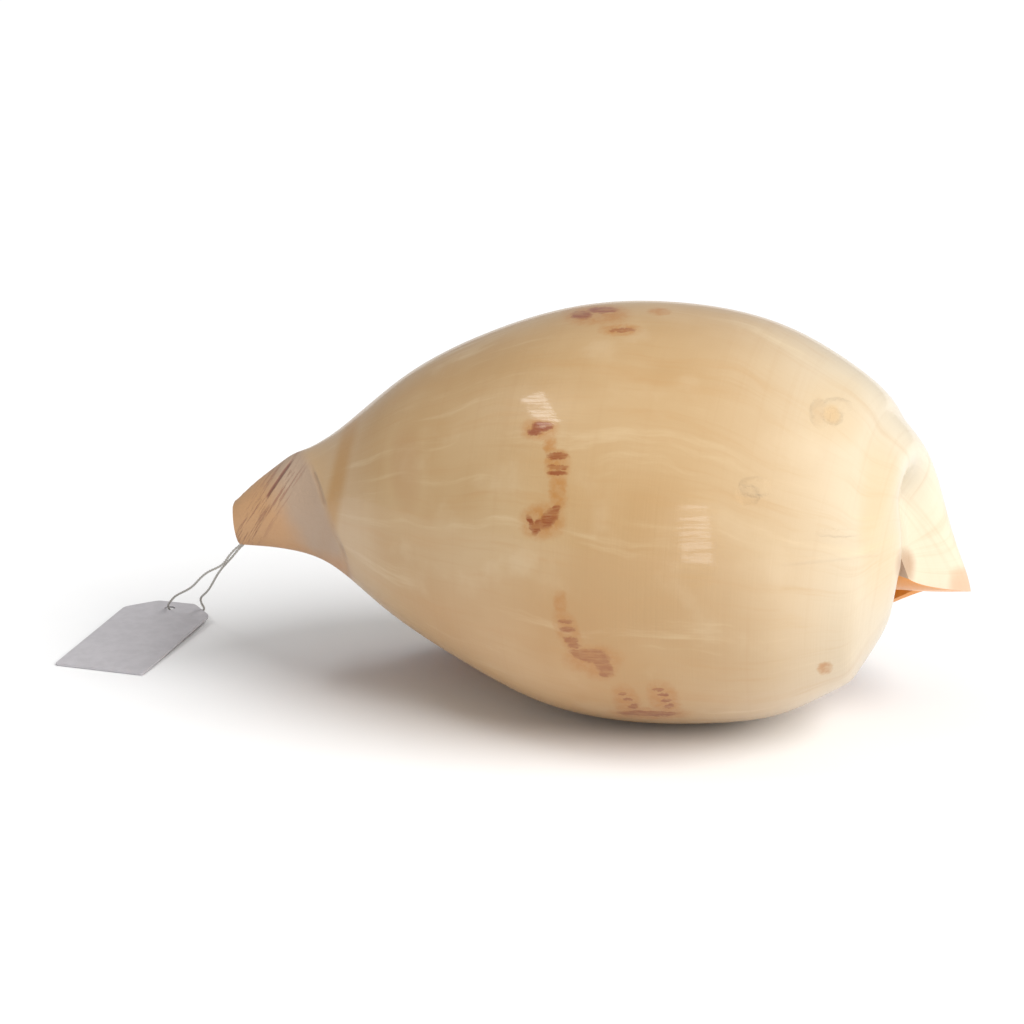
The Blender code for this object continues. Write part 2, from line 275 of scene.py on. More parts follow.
def place(x, out, along, turn):
    """Turn half-plane places about the axis into points in the part's frame, in mm."""
    angle = np.radians(profile_rows(along)[5] + turn)
    facing_back = np.cos(angle - math.radians(BACK_ANGLE))
    t = np.clip((x - TIP_STARTS) / TIP_STRETCH, TIP_LEAST, 1)
    out = out * (1 - (1 + facing_back) / 2 * (1 - (t * (2 - t))**TIP_SWELLS))
    shift = TIP_DOME * out**2 + TIP_SLANT * np.clip(facing_back, 0, 1)
    x = x + shift * (1 - smoothstep(0.0, TIP_STRETCH, x))
    across = out * np.sin(angle)
    height = AXIS_HEIGHT + out * np.cos(angle)
    return np.stack([x - CENTRE_X, across - CENTRE_Y, height], -1)


# %% [markdown]
# ## The body, finely
# The outside is one sheet of growth lines wound once about the axis, closed at the pole
# and at the siphon tip. We keep each point's place along the lip and its growth angle.
# The enamel's streaks follow those two, as they do on a real shell, where colour is laid
# down at the lip line by line.

# %%
BODY_FROM = 0.035
SHOULDER = 0.30


def two_part_steps(low, middle, high, counts):
    """Step evenly from low to middle, and at another pace from there to high."""
    before = np.linspace(low, middle, counts[0])
    after = np.linspace(middle, high, counts[1])
    return np.concatenate([before, after[1:]])


def quads_between(loops, size):
    """Join neighbouring closed loops of points with quads."""
    i, j = np.meshgrid(np.arange(loops - 1), np.arange(size), indexing="ij")
    k = (j + 1) % size
    a = i * size
    corners = np.stack([a + j, a + k, a + size + k, a + size + j], -1)
    return corners.reshape(-1, 4).tolist()


def closed_mesh(name, points, faces):
    """Make a closed mesh object, in metres, whose faces look outwards."""
    mesh = bpy.data.meshes.new(name)
    mesh.from_pydata((np.array(points) * MM).tolist(), [], faces)
    work = bmesh.new()
    work.from_mesh(mesh)
    bmesh.ops.recalc_face_normals(work, faces=work.faces)
    if work.calc_volume(signed=True) < 0:
        bmesh.ops.reverse_faces(work, faces=work.faces)
    work.to_mesh(mesh)
    work.free()
    made = bpy.data.objects.new(name, mesh)
    bpy.context.scene.collection.objects.link(made)
    return made


along = two_part_steps(BODY_FROM, SHOULDER, 1.0, (64, 132))[:, None]
turn = np.linspace(-360.0, 0.0, 250)[None, :]
x_skin, r_skin = half_plane(along, turn)
skin = place(x_skin, r_skin, along, turn)
skin_places = np.broadcast_arrays(along, turn)
loops, size = skin.shape[:2]
points = list(skin.reshape(-1, 3))
pole = len(points)
points.append((POLE_X - CENTRE_X, -CENTRE_Y, AXIS_HEIGHT))
tip = len(points)
points.append((TIP_X - CENTRE_X, -CENTRE_Y, AXIS_HEIGHT))
faces = quads_between(loops, size)
last = (loops - 1) * size
for j in range(size):
    k = (j + 1) % size
    faces.append((pole, k, j))
    faces.append((tip, last + j, last + k))
body = closed_mesh("body", points, faces)
print("body:", len(faces), "faces")


# %% [markdown]
# ## The hollow of the whorl
# The animal lived in one long crescent-shaped tube that winds back from the mouth. Its
# outer side is the wall's inner skin, and its inner side is the older whorl, which the
# folded pillar ends in. Towards the siphon it opens into a narrow canal. We loft that
# crescent from its blind end, out of the mouth, and on to where the siphon's slot ends.

# %%
HOLLOW_BACK = -305.0
SLOT_FORWARD = 42.0
NEAR_LIP = (-20.0, -10.0, -3.0, 3.0, 10.0, 24.0)
LIP_THINS = (-26.0, 0.0)
LIP_CLEARED = (1.0, 10.0)
PAST_LIP = 8.0
SLOT_CLEARS = (-0.25, 0.5, 1.2)
HOLLOW_FROM = 0.085
HOLLOW_TO = 0.80
HOLLOW_SHOULDER = 0.28
CORNER_ROUND = 0.07
BLIND_ROUND = 26.0
LEAST_GAPE = 0.25
CANAL_BACK = (-190.0, -110.0)
CANAL_CORE = 4.0
CANAL_OUT = 8.5
CANAL_FADES = (14.0, 46.0)
SIPHON_RUN_OUT = 14.0


def quarter_round(value):
    """Rise from 0 to 1 as a quarter circle does."""
    return np.sqrt(1 - (1 - np.clip(value, 0, 1))**2)


def pillar(along, turn):
    """Give the older whorl's skin, one turn back, which the hollow winds round."""
    x, out = half_plane(along, turn - 360)
    clear = np.interp(turn, [0.0, 8.0, SLOT_FORWARD], SLOT_CLEARS)
    canal = smoothstep(*CANAL_BACK, turn) * (1 - smoothstep(*CANAL_FADES, x))
    return x, out + clear + canal * (np.minimum(CANAL_CORE, out) - out - clear)


inside = np.linspace(HOLLOW_BACK, NEAR_LIP[0], 120)
near_lip = np.interp(np.linspace(0, 6, 31)[1:], np.arange(7), [*NEAR_LIP, SLOT_FORWARD])
turn = np.concatenate([inside, near_lip])[None, :]
share = two_part_steps(0.0, HOLLOW_SHOULDER, 1.0, (24, 60))[:, None]
canal = smoothstep(*CANAL_BACK, turn)
along = HOLLOW_FROM + share * (HOLLOW_TO + (1 - HOLLOW_TO) * canal - HOLLOW_FROM)
thick = WALL + (LIP_EDGE - WALL) * smoothstep(*LIP_THINS, turn)
thick = thick - PAST_LIP * smoothstep(*LIP_CLEARED, turn)
x_wall, r_wall = inner_skin(along, turn, thick)
x_core, r_core = pillar(along, turn)
near_pole = quarter_round(share / CORNER_ROUND)
near_siphon = np.maximum(quarter_round((1 - share) / CORNER_ROUND), canal)
blind_end = quarter_round((turn - HOLLOW_BACK) / BLIND_ROUND)
gape = np.maximum(near_pole * near_siphon * blind_end, LEAST_GAPE)
x_wall = x_core + gape * (x_wall - x_core)
r_wall = r_core + gape * (np.maximum(r_wall, CANAL_OUT) - r_core)
wall_side = place(x_wall, r_wall, along, turn)
core_side = place(x_core, r_core, along, turn)
wall_places = np.broadcast_arrays(along, turn)
core_places = np.broadcast_arrays(along, turn - 360)
run_out = np.zeros((1, turn.shape[1], 3))
run_out[0, :, 0] = -SIPHON_RUN_OUT * canal[0]
ends = [wall_side[-1:] + run_out, core_side[-1:] + run_out]
loops = np.concatenate([wall_side, *ends, core_side[::-1]])
size, rounds = loops.shape[:2]
faces = quads_between(rounds, size)
last = (rounds - 1) * size
for i in range(size // 2 - 1):
    quad = (i, i + 1, size - 2 - i, size - 1 - i)
    faces.append(quad)
    faces.append(tuple(last + corner for corner in reversed(quad)))
hollow = closed_mesh("hollow", list(loops.transpose(1, 0, 2).reshape(-1, 3)), faces)
print("hollow:", len(faces), "faces")

# %% [markdown]
# Cutting one from the other gives the real shell: a thin wall that is one piece with
# its pillar. The cutter is thrown away once its cut is in the mesh. Each point of the
# result then learns where it belongs: on the outside, or on the hollow's two sides.

# %%
cut = body.modifiers.new("hollow", "BOOLEAN")
cut.operation = "DIFFERENCE"
cut.solver = "MANIFOLD"
cut.object = hollow
bpy.context.view_layer.update()
evaluated = body.evaluated_get(bpy.context.evaluated_depsgraph_get())
mesh = bpy.data.meshes.new_from_object(evaluated)
mesh.name = "shell_skin"
shell = bpy.data.objects.new("shell_skin", mesh)
bpy.context.scene.collection.objects.link(shell)


def surface_of(thing):
    """Give a mesh as a surface that can tell how far a place is from it."""
    corners = [v.co.copy() for v in thing.data.vertices]
    return BVHTree.FromPolygons(corners, [tuple(f.vertices) for f in thing.data.polygons])


body_surface = surface_of(body)
hollow_surface = surface_of(hollow)
for tool in (body, hollow):
    bpy.data.objects.remove(tool, do_unlink=True)

sheets = (skin, wall_side, core_side)
known_points = np.concatenate([sheet.reshape(-1, 3) * MM for sheet in sheets])
known = KDTree(len(known_points))
for i, point in enumerate(known_points):
    known.insert(point, i)
known.balance()
nearest = np.array([known.find(v.co)[1] for v in mesh.vertices])
places = (skin_places, wall_places, core_places)
along_of = np.concatenate([grid[0].ravel() for grid in places])[nearest]
turn_of = np.concatenate([grid[1].ravel() for grid in places])[nearest]

ring_count, ring_size = skin.shape[:2]
inside_of = []
for face in mesh.polygons:
    side, to_body = body_surface.find_nearest(face.center)[2:]
    to_hollow = hollow_surface.find_nearest(face.center)[3]
    lip_end = side % ring_size == ring_size - 1 and side < (ring_count - 1) * ring_size
    inside_of.append(1.0 if to_hollow < to_body or lip_end else 0.0)


def keep_on_mesh(name, domain, values):
    """Store one number for each point or face, for the material to read."""
    layer = mesh.attributes.new(name, "FLOAT", domain)
    layer.data.foreach_set("value", np.asarray(values, dtype=np.float32))


keep_on_mesh("along", "POINT", along_of)
keep_on_mesh("growth", "POINT", 1 + turn_of / 360)
keep_on_mesh("inside", "FACE", inside_of)
for face in mesh.polygons:
    face.use_smooth = True
mesh.set_sharp_from_angle(angle=math.radians(38))
print("shell:", len(mesh.vertices), "points,", len(mesh.polygons), "faces")
print("inside share:", round(float(np.mean(inside_of)), 3))

# %% [markdown]
# ## Soft studio light and a pale floor
# The photo has white all round and one broad light from the right and a little in
# front, which throws a soft shadow to the left. A sun lamp with a wide angle does that,
# and lights the whole floor evenly. Its disc is kept out of the reflections, where the photo
# shows only windows.

# %%
scene = bpy.context.scene
scene.view_settings.view_transform = "Standard"
world = bpy.data.worlds.new("white_room")
scene.world = world
world.use_nodes = True
world.node_tree.nodes["Background"].inputs["Color"].default_value = (1, 1, 1, 1)
world.node_tree.nodes["Background"].inputs["Strength"].default_value = 0.44


def aim(lamp, place, target):
    """Put a lamp somewhere and turn it to a target."""
    lamp.location = place
    away = Vector(target) - Vector(place)
    lamp.rotation_euler = away.to_track_quat("-Z", "Y").to_euler()
    lamp.visible_camera = False
    scene.collection.objects.link(lamp)


sun = bpy.data.objects.new("broad_light", bpy.data.lights.new("broad_light", "SUN"))
sun.data.energy = 3.5
sun.data.angle = math.radians(50)
sun.visible_glossy = False
aim(sun, (0.75, -0.28, 0.66), (0, 0, 0))

floor_mesh = bpy.data.meshes.new("floor")
reach = 9.0
corners = [(-reach, -reach, 0), (reach, -reach, 0), (reach, reach, 0), (-reach, reach, 0)]
floor_mesh.from_pydata(corners, [], [(0, 1, 2, 3)])
floor = bpy.data.objects.new("floor", floor_mesh)
floor.location.z = -0.0002
scene.collection.objects.link(floor)

# %% [markdown]
# ## A small language for materials
# Colour on a shell is a sum of many faint layers, so its material is easiest to read as
# arithmetic. This class wraps one shader socket. Sums on it add the Math nodes they
# need, and `node` adds any other node: its settings first, then its sockets.

# %%


class Field:
    """A value that varies over a surface, and takes part in plain Python sums."""

    def __init__(self, tree, output=None):
        self.tree = tree
        self.output = output

    def node(self, kind, settings=None, sockets=None, result=0):
        """Add a node, give it its settings, then fill or link its sockets."""
        made = self.tree.nodes.new(kind)
        for name, value in (settings or {}).items():
            setattr(made, name, value)
        for name, value in (sockets or {}).items():
            if isinstance(value, Field):
                self.tree.links.new(value.output, made.inputs[name])
            else:
                made.inputs[name].default_value = value
        return Field(self.tree, made.outputs[result])

    def math(self, operation, *values):
        settings = {"operation": operation}
        return self.node("ShaderNodeMath", settings, dict(enumerate(values)))

    def vector(self, operation, *values, result=0):
        settings = {"operation": operation}
        return self.node("ShaderNodeVectorMath", settings, dict(enumerate(values)), result)

    def __add__(self, other):
        return self.math("ADD", self, other)

    def __sub__(self, other):
        return self.math("SUBTRACT", self, other)

    def __rsub__(self, other):
        return self.math("SUBTRACT", other, self)

    def __mul__(self, other):
        return self.math("MULTIPLY", self, other)

    def __truediv__(self, other):
        return self.math("DIVIDE", self, other)

    def __pow__(self, other):
        return self.math("POWER", self, other)

    def __abs__(self):
        return self.math("ABSOLUTE", self)

    __radd__ = __add__
    __rmul__ = __mul__

    def most(self, other):
        return self.math("MAXIMUM", self, other)

    def least(self, other):
        return self.math("MINIMUM", self, other)

    def rise(self, low, high):
        """Rise smoothly from 0 to 1 while the field goes from low to high."""
        settings = {"interpolation_type": "SMOOTHSTEP"}
        sockets = {0: self, 1: low, 2: high}
        return self.node("ShaderNodeMapRange", settings, sockets)

    def blend(self, first, second, kind="MIX"):
        """Go from the first colour to the second as the field goes from 0 to 1."""
        settings = {"data_type": "RGBA", "blend_type": kind}
        return self.node("ShaderNodeMix", settings, {0: self, 6: first, 7: second}, 2)

    def noise(self, place, scale, detail=2.0, roughness=0.5):
        """Read soft noise, from 0 to 1, at a place."""
        sockets = {"Vector": place, "Scale": scale, "Detail": detail}
        sockets["Roughness"] = roughness
        return self.node("ShaderNodeTexNoise", None, sockets)

    def combine(self, x, y, z):
        return self.node("ShaderNodeCombineXYZ", None, {0: x, 1: y, 2: z})

    def stored(self, name):
        """Read a number that is stored on the mesh's points."""
        return self.node("ShaderNodeAttribute", {"attribute_name": name}, None, 2)


def linear(red, green, blue):
    """Turn a colour as a screen shows it, 0 to 255, into the linear one shaders use."""
    shares = [channel / 255 for channel in (red, green, blue)]
    return (*(s / 12.92 if s < 0.04045 else ((s + 0.055) / 1.055)**2.4 for s in shares), 1)


def new_material(name):
    """Start a material, and give its shader node and a field to build on."""
    made = bpy.data.materials.new(name)
    made.use_nodes = True
    shader = made.node_tree.nodes["Principled BSDF"]
    return made, shader, Field(made.node_tree)


def wire(shader, **fields):
    """Link fields to the shader's sockets, named with underscores for spaces."""
    for name, field in fields.items():
        field.tree.links.new(field.output, shader.inputs[name.replace("_", " ")])


# %% [markdown]
# ## Where the photo's marks lie
# Every shell of this kind has its own brown marks, so they are placed one by one. A ray
# through a mark's pixel meets the shell at one point. We read that point on a drawing
# sheet: two axes in millimetres, held upright in front of the shell. The material
# reads the same two numbers at every point of the skin, so it knows how far each mark is.

# %%
shell_tree = BVHTree.FromPolygons(
    [v.co for v in mesh.vertices], [tuple(p.vertices) for p in mesh.polygons])
PIXEL = DISTANCE / MM * SENSOR / LENS / PICTURE


def on_sheet(x, y):
    """Give the sheet's two coordinates, in mm, of the shell's point seen at a pixel."""
    eye, ray = photo_ray(x, y)
    hit = shell_tree.ray_cast(eye, ray)[0]
    point = hit if hit is not None else eye + ray * DISTANCE
    return point.dot(RIGHT) / MM, point.dot(UP) / MM


print("one pixel is", round(PIXEL, 3), "mm; the notch is at", on_sheet(893, 577))

# %% [markdown]
# Two windows of light show on the enamel: a wide one high on the back, and a tall one
# on the belly. A lamp shows where the line of sight bounces off the skin, so we follow
# that bounce out from the shell and hang each lamp there.

# %%


def window_light(name, pixel, size, watts):
    """Hang a rectangular lamp so that its reflection shows at a pixel of the photo."""
    eye, ray = photo_ray(*pixel)
    hit, normal = shell_tree.ray_cast(eye, ray)[:2]
    bounce = ray - normal * (2 * ray.dot(normal))
    lamp = bpy.data.objects.new(name, bpy.data.lights.new(name, "AREA"))
    lamp.data.shape = "RECTANGLE"
    lamp.data.size = size[0]
    lamp.data.size_y = size[1]
    lamp.data.energy = watts
    aim(lamp, hit + bounce * 1.3, hit)
    print(name, "hangs at", tuple(round(v, 2) for v in lamp.location))


window_light("back_window", (542, 410), (0.50, 0.16), 2.2)
window_light("belly_window", (697, 538), (0.19, 0.80), 2.4)

# %% [markdown]
# ## The enamel's colours
# The outside is cream to ochre. It is paler on the wide end and towards the lip, partly
# its own tone and partly painted light where the broad light falls full on that side. It
# is greyer on the neck, orange at the siphon's tip. Faint streaks follow the growth lines,
# which the snail laid down along its lip. The glazed inside is warm orange. The sheet's
# two coordinates and the stored growth place are all the material needs.

# %%
enamel, shader, start = new_material("shell_enamel")
position = start.node("ShaderNodeTexCoord", None, None, 3)
position = position.vector("MULTIPLY", position, (1 / MM, 1 / MM, 1 / MM))
sheet_x = position.vector("DOT_PRODUCT", position, tuple(RIGHT), result=1)
sheet_y = position.vector("DOT_PRODUCT", position, tuple(UP), result=1)
along_lip = start.stored("along")
growth = start.stored("growth")
inner = start.stored("inside").rise(0.35, 0.65)


def side_of(first, second):
    """Give the distance in mm from a line through two pixels, positive on its right."""
    (x1, y1), (x2, y2) = on_sheet(*first), on_sheet(*second)
    run = math.hypot(x2 - x1, y2 - y1)
    return (sheet_y - y1) * ((x2 - x1) / run) - (sheet_x - x1) * ((y2 - y1) / run)


cloud = start.noise(position, 0.014, 3.0)
mottle = start.noise(position, 0.05, 4.0)
wander = start.noise(position, 0.03, 2.0)
lines_at = start.combine(growth * 26 + wander * 0.8, along_lip * 2.2, 0.0)
growth_lines = start.noise(lines_at, 1.6, 6.0, 0.62)
fine_at = start.combine(growth * 150 + wander * 2.0, along_lip * 4.0, 3.0)
fine_lines = start.noise(fine_at, 1.5, 4.0, 0.6)
rings_at = start.combine(growth * 1.5, along_lip * 60, 7.0)
rings = start.noise(rings_at, 1.3, 3.0, 0.6)

CREAM = linear(190, 159, 116)
OCHRE = linear(177, 140, 90)
PALE = linear(216, 205, 182)

colour = cloud.rise(0.36, 0.66).blend(CREAM, OCHRE)
# Painted light, in part: the wide end on the right blends to a pale tone, which is partly its own colour
# and partly the broad light falling full on that side.
pale_and_lit_wide_end = sheet_x.rise(10.0, 135.0)
colour = pale_and_lit_wide_end.blend(colour, PALE)
streak = growth_lines.rise(0.50, 0.74) * (1 - pale_and_lit_wide_end * 0.6)
colour = (streak * 0.42).blend(colour, linear(182, 138, 84))
pale_streak = growth_lines.rise(0.46, 0.24)
colour = (pale_streak * 0.40).blend(colour, linear(222, 202, 166))
colour = (fine_lines.rise(0.52, 0.80) * (1 - pale_and_lit_wide_end * 0.7) * 0.22).blend(colour, linear(176, 134, 82))
colour = (rings.rise(0.5, 0.8) * 0.16).blend(colour, linear(174, 132, 84))
colour = (mottle.rise(0.55, 0.75) * 0.14).blend(colour, linear(222, 206, 176))

# %% [markdown]
# The narrow end is another surface: the snail's foot wore and stained it. A line runs
# slantwise round the neck where the last whorl's smooth enamel ends, and painted shade
# darkens the crease along it. Beyond the line lies a greyish pink band, then the orange
# tip, with reddish scratches that run towards it.

# %%
neck = side_of((352, 400), (378, 600)).rise(9.0, -9.0)
colour = (neck * 0.55).blend(colour, linear(192, 162, 126))
neck_streak = side_of((330, 520), (347, 440))
ochre_band = abs(neck_streak).rise(4.4, 0.8) * mottle.rise(0.22, 0.48)
colour = (ochre_band * 0.75).blend(colour, linear(176, 130, 68))
border = side_of((302, 448), (348, 572)) + (wander - 0.5) * 6
fasciole = border.rise(2.2, -2.2)
colour = (fasciole * 0.85).blend(colour, linear(172, 148, 128))
# Painted shade: the crease along the border is darkened in colour, as well as dented in the relief below.
crease_and_painted_shade = abs(border).rise(1.1, 0.1) * mottle.rise(0.46, 0.60)
colour = (crease_and_painted_shade * 0.4).blend(colour, linear(146, 112, 88))
tip_line = side_of((262, 452), (300, 556)) + (mottle - 0.5) * 14
tip_orange = tip_line.rise(6.0, -7.0)
colour = (tip_orange * 0.8).blend(colour, linear(192, 145, 98))
under_edge = side_of((232, 545), (330, 556)) + (mottle - 0.5) * 5
under_orange = under_edge.rise(4.0, -3.0) * fasciole
colour = (under_orange * 0.5).blend(colour, linear(188, 132, 78))

red_line = side_of((265, 500), (298, 453))
red_up = side_of((262, 497), (270, 503))
scratches_at = start.combine(red_line * 0.9, red_up * 0.06, 1.0)
scratch_noise = start.noise(scratches_at, 0.9, 5.0, 0.7)
back_part = abs(red_line + 1).rise(9.0, 2.0) * tip_line.rise(16.0, 6.0)
red_scratches = scratch_noise.rise(0.50, 0.62) * back_part * fasciole
colour = (red_scratches * 0.55).blend(colour, linear(140, 88, 70))
main_scratch = abs(red_line).rise(0.75, 0.15)
main_scratch = main_scratch * red_up.rise(0.0, 2.0) * red_up.rise(19.0, 14.0)
colour = (main_scratch * 0.75).blend(colour, linear(112, 56, 46))

# %% [markdown]
# The brown marks are remains of the young shell's pattern. Each is a soft box on the
# sheet, in the photo's pixels. Noise moves the sheet a little under them, so that their
# edges fray, and fine stripes run across them, as growth lines do. Only the side that
# faces the front gets them.

# %%
fray = start.noise(position, 0.55, 4.0, 0.65)
fray_two = start.noise(position, 0.43, 4.0, 0.65)
frayed_x = sheet_x + (fray - 0.5) * 2.6
frayed_y = sheet_y + (fray_two - 0.5) * 2.2
normals = np.array([tuple(v.normal) for v in mesh.vertices])
keep_on_mesh("front", "POINT", np.clip(-(normals @ np.array(SIGHT)) * 6 + 0.5, 0, 1))
facing_front = start.stored("front")


def soft_box(left, top, right, bottom, lean=0.0, soft=0.35, fields=None):
    """Give 1 inside a box of the photo's pixels and 0 outside it, with round corners.

    A box that leans has its top moved to the right by that share of its height."""
    x, y = on_sheet((left + right) / 2, (top + bottom) / 2)
    across, up = fields or (frayed_x, frayed_y)
    up = up - y
    wide = abs((across - x - up * lean) / ((right - left) / 2 * PIXEL))**2.4
    high = abs(up / ((bottom - top) / 2 * PIXEL))**2.4
    return (wide + high).rise(1 + soft * 2, 1 - soft)


DARK_MARKS = {
    "upper blot": (533, 422, 552, 431),
    "upper blot foot": (529, 429, 541, 435),
    "block top": (549, 453, 566, 459),
    "block line": (549, 465, 567, 469),
    "block foot": (550, 471, 566, 475),
    "wedge one left": (528, 516, 534, 531, -0.35),
    "wedge one right": (534, 520, 541, 534, 0.30),
    "wedge two": (542, 510, 556, 527, 0.55),
    "wedge two top": (552, 506, 559, 514, 0.4),
    "first dot": (559, 619, 571, 623),
    "second dot": (561, 627, 574, 632),
    "third dot": (565, 637, 577, 643, -0.6),
    "fourth dot": (569, 643, 580, 648, -0.6),
    "low blot": (580, 650, 606, 662, -0.5),
    "low blot edge": (573, 650, 585, 660, -1.0),
    "low blot line": (595, 653, 609, 674, -0.55),
    "low blot tail": (600, 668, 611, 677),
    "ladder foot": (622, 711, 674, 716),
    "ladder one top": (619, 692, 626, 695, 0.5),
    "ladder one middle": (624, 698, 632, 701, 0.5),
    "ladder one low": (629, 704, 637, 709, 0.5),
    "ladder two top": (654, 688, 663, 691, 0.5),
    "ladder two middle": (658, 693, 668, 696, 0.5),
    "ladder two low": (662, 699, 671, 702, 0.5),
    "ladder two foot": (665, 704, 673, 708, 0.5),
    "ridge blot": (573, 311, 590, 319),
    "ridge blot right": (590, 307, 616, 313),
    "ridge dash": (612, 328, 633, 332),
}
PALE_MARKS = {
    "upper": (526, 421, 554, 438),
    "link": (545, 436, 555, 452),
    "block": (548, 453, 567, 476),
    "stem": (551, 474, 565, 508),
    "wedges": (526, 508, 560, 535),
    "above the dots": (555, 594, 566, 612),
    "between the dots": (559, 614, 577, 648, -0.35),
    "blot": (571, 648, 616, 670),
    "blot tail": (588, 660, 613, 678),
    "ladder": (616, 688, 637, 716, -0.3),
    "ladder two": (652, 685, 676, 716, -0.3),
    "ladder foot": (618, 708, 680, 719),
    "ridge": (570, 305, 622, 324),
    "ridge dash": (604, 325, 636, 335),
    "ridge speck": (650, 308, 668, 315),
    "low spot": (819, 663, 831, 673),
}

dark = soft_box(*DARK_MARKS["upper blot"])
for name in list(DARK_MARKS)[1:]:
    dark = dark.most(soft_box(*DARK_MARKS[name], soft=0.6))
pale = soft_box(*PALE_MARKS["upper"], soft=0.9)
for name in list(PALE_MARKS)[1:]:
    pale = pale.most(soft_box(*PALE_MARKS[name], soft=0.9))
stripes_at = start.combine(frayed_x * 0.10, sheet_y * 0.75, 2.0)
stripes = start.noise(stripes_at, 1.0, 3.0, 0.7)
patchy = start.noise(position, 0.35, 3.0, 0.6)
dark = dark * (0.45 + stripes.rise(0.35, 0.6) * 0.55) * facing_front
pale = pale * (0.55 + patchy.rise(0.35, 0.62) * 0.45) * facing_front
print(len(DARK_MARKS), "dark marks and", len(PALE_MARKS), "pale ones")

# %% [markdown]
# The wide end has its own history: an old scar that healed as a bump with a yellow
# centre. Painted shade darkens the valley between the last whorl and the lip, and a
# purple-brown patch darkens the notch where the lip starts. The lip's edge is thin and a
# little pinkish orange.

# %%
colour = (pale * 0.72).blend(colour, linear(170, 108, 30))
colour = (dark * 0.95).blend(colour, linear(134, 60, 2))

smooth_fields = (sheet_x + (mottle - 0.5) * 5, sheet_y + (cloud - 0.5) * 5)


def tint(colour, box, share, tone, soft=1.3):
    """Tint a soft patch of the front side towards a tone."""
    patch = soft_box(*box, 0.0, soft, smooth_fields) * facing_front
    return (patch * share).blend(colour, tone)


colour = tint(colour, (825, 408, 837, 422), 0.30, linear(192, 142, 66))
colour = tint(colour, (814, 402, 823, 424), 0.15, linear(160, 116, 70))
colour = tint(colour, (812, 386, 860, 436), 0.22, linear(196, 160, 104))
# Painted shade: the valley between the last whorl and the lip is tinted darker, where shade falls in it.
colour = tint(colour, (866, 460, 900, 575), 0.30, linear(196, 160, 100))
# A purple-brown patch darkens the notch where the lip starts.
colour = tint(colour, (893, 553, 913, 578), 0.60, linear(156, 100, 60))
colour = tint(colour, (952, 570, 974, 594), 0.45, linear(196, 134, 90))
colour = tint(colour, (395, 440, 418, 500), 0.28, linear(166, 118, 68))
colour = tint(colour, (400, 600, 600, 720), 0.30, linear(186, 134, 74))
# Painted shade: the middle of the front is tinted darker, standing in for less light falling there.
colour = tint(colour, (600, 380, 780, 640), 0.35, linear(180, 146, 102))

far_spots = start.noise(position, 0.045, 3.0, 0.6).rise(0.655, 0.70)
far_band = abs(along_lip - 0.47).rise(0.035, 0.015).most(
    abs(along_lip - 0.63).rise(0.03, 0.012))
outer = growth.rise(0.28, 0.36) * (1 - facing_front) * (1 - inner)
far_marks = far_spots * far_band * stripes.rise(0.3, 0.6) * outer
colour = (far_marks * 0.7).blend(colour, linear(148, 90, 44))

ORANGE = linear(228, 144, 24)
inside_colour = growth_lines.rise(0.3, 0.7).blend(ORANGE, linear(226, 152, 62))
lip_edge = growth.rise(0.985, 0.998)
inside_colour = (lip_edge * 0.25).blend(inside_colour, linear(224, 200, 160))
colour = inner.blend(colour, inside_colour)

# %% [markdown]
# The enamel is glossy, but not perfect. It rolls a little, growth lines and small scars
# stand up from it by a hair, and it is duller on the neck and the worn tip. Fine relief
# goes through a Bump node, with real heights in metres.

# %%
ripple = start.noise(lines_at, 3.0, 3.0, 0.5)
hair_at = start.combine(sheet_x * 0.05, sheet_y * 0.9 + wander * 4.0, 5.0)
hair_lines = start.noise(hair_at, 1.0, 2.0, 0.5)
height = (cloud * 0.5 + ripple * 0.10 + fine_lines * 0.03) * (1 - inner * 0.7)
height = height + mottle * 0.12
rough_neck = start.noise(position, 0.5, 5.0, 0.6) * fasciole * 0.28
height = height + rough_neck - crease_and_painted_shade * 0.35 - main_scratch * 0.35
height = height - red_scratches * 0.12
wear = start.noise(rings_at, 5.0, 2.0, 0.5) * 0.05
height = height + wear
scuffed = soft_box(505, 388, 578, 430).most(soft_box(676, 492, 720, 582))
height = height + scuffed * hair_lines * 0.014


rolled_fields = (sheet_x + (fray - 0.5) * 2, sheet_y + (fray_two - 0.5) * 2)


def raised(box, amount, soft=0.9):
    """Give a smooth uneven bump, in mm, over a box of the photo's pixels."""
    return soft_box(*box, 0.0, soft, rolled_fields) * facing_front * amount


height = height + raised((813, 404, 828, 424), 0.5)
height = height + raised((828, 400, 848, 412), 0.45)
height = height - raised((824, 409, 840, 422), 0.55)
height = height + raised((744, 480, 766, 494), 0.55)
height = height - raised((740, 488, 756, 502), 0.45)
long_ridge = abs(side_of((775, 564), (880, 553))).rise(1.4, 0.1)
long_ridge = long_ridge * sheet_x.rise(on_sheet(770, 565)[0], on_sheet(800, 560)[0])
long_ridge = long_ridge * sheet_x.rise(on_sheet(890, 553)[0], on_sheet(870, 553)[0])
height = height + long_ridge * facing_front * 0.2
height = height + raised((822, 530, 856, 536), 0.25)

sockets = {"Strength": 1.0, "Distance": MM, "Height": height}
relief = start.node("ShaderNodeBump", None, sockets)
roughness = 0.32 + mottle * 0.10 + fasciole * 0.18 + fine_lines * 0.06
polish = 1 - scuffed * hair_lines.rise(0.57, 0.43) * 0.8
coat = (1 - fasciole * 0.8) * polish * 0.5
wire(shader, Base_Color=colour, Roughness=roughness, Normal=relief, Coat_Weight=coat)
